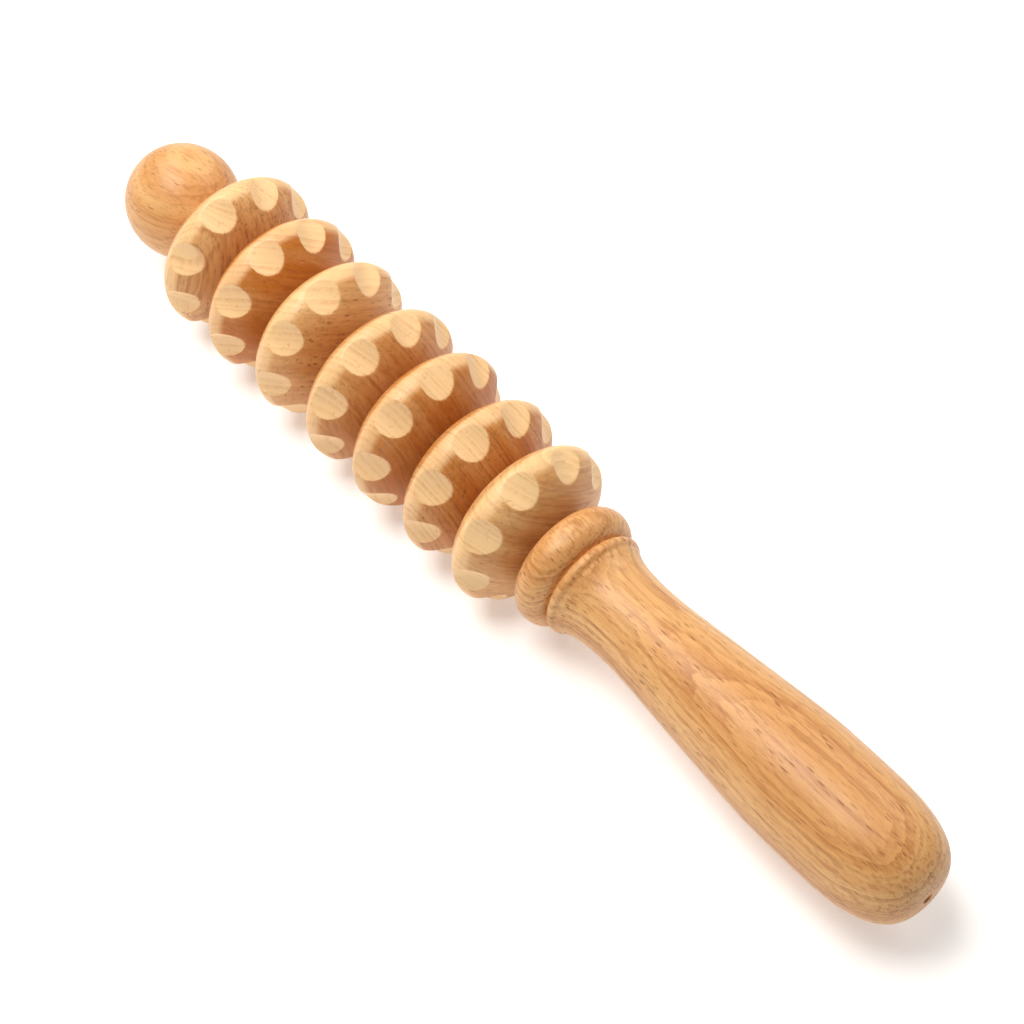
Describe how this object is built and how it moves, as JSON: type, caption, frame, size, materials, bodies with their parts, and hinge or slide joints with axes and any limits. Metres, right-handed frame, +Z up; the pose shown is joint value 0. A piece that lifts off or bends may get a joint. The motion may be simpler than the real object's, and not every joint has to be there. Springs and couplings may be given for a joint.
{
  "type": "wooden roller massage stick",
  "caption": "Hand-held massage stick of turned beech: free-spinning scalloped discs on a wooden axle between a ball and a long shaped handle.",
  "frame": {"origin": "middle of the bounding box's bottom face, on the surface that the discs lie on", "axes": "+X along the axle from the ball to the handle, +Z up, away from that surface"},
  "size_m": [0.3824, 0.06, 0.06],
  "materials": {
    "handle_beech": "oiled satin, grain along the handle",
    "dowel_beech": "plain sanded dowel",
    "ball_beech": "oiled satin",
    "disc_1_beech": "oiled satin, pale with dark flecks",
    "disc_2_beech": "oiled satin, reddish",
    "disc_3_beech": "oiled satin, pale with dark flecks",
    "disc_4_beech": "oiled satin, golden",
    "disc_5_beech": "oiled satin, amber",
    "disc_6_beech": "oiled satin, amber with strong stripes",
    "disc_7_beech": "oiled satin, pale"
  },
  "bodies": {
    "core": {"handle": "handle_beech", "axle": "dowel_beech", "end_ball": "ball_beech"},
    "disc_1_body": {"disc_1": "disc_1_beech"},
    "disc_2_body": {"disc_2": "disc_2_beech"},
    "disc_3_body": {"disc_3": "disc_3_beech"},
    "disc_4_body": {"disc_4": "disc_4_beech"},
    "disc_5_body": {"disc_5": "disc_5_beech"},
    "disc_6_body": {"disc_6": "disc_6_beech"},
    "disc_7_body": {"disc_7": "disc_7_beech"}
  },
  "joints": [
    {"name": "disc_1_spin", "type": "hinge", "parent": "core", "child": "disc_1_body", "pos_m": [-0.13805, 0, 0.02998], "axis": [1, 0, 0], "continuous": true},
    {"name": "disc_2_spin", "type": "hinge", "parent": "core", "child": "disc_2_body", "pos_m": [-0.11205, 0, 0.02998], "axis": [1, 0, 0], "continuous": true},
    {"name": "disc_3_spin", "type": "hinge", "parent": "core", "child": "disc_3_body", "pos_m": [-0.08565, 0, 0.02998], "axis": [1, 0, 0], "continuous": true},
    {"name": "disc_4_spin", "type": "hinge", "parent": "core", "child": "disc_4_body", "pos_m": [-0.05805, 0, 0.02998], "axis": [1, 0, 0], "continuous": true},
    {"name": "disc_5_spin", "type": "hinge", "parent": "core", "child": "disc_5_body", "pos_m": [-0.03325, 0, 0.02998], "axis": [1, 0, 0], "continuous": true},
    {"name": "disc_6_spin", "type": "hinge", "parent": "core", "child": "disc_6_body", "pos_m": [-0.00725, 0, 0.02998], "axis": [1, 0, 0], "continuous": true},
    {"name": "disc_7_spin", "type": "hinge", "parent": "core", "child": "disc_7_body", "pos_m": [0.01705, 0, 0.02998], "axis": [1, 0, 0], "continuous": true}
  ]
}
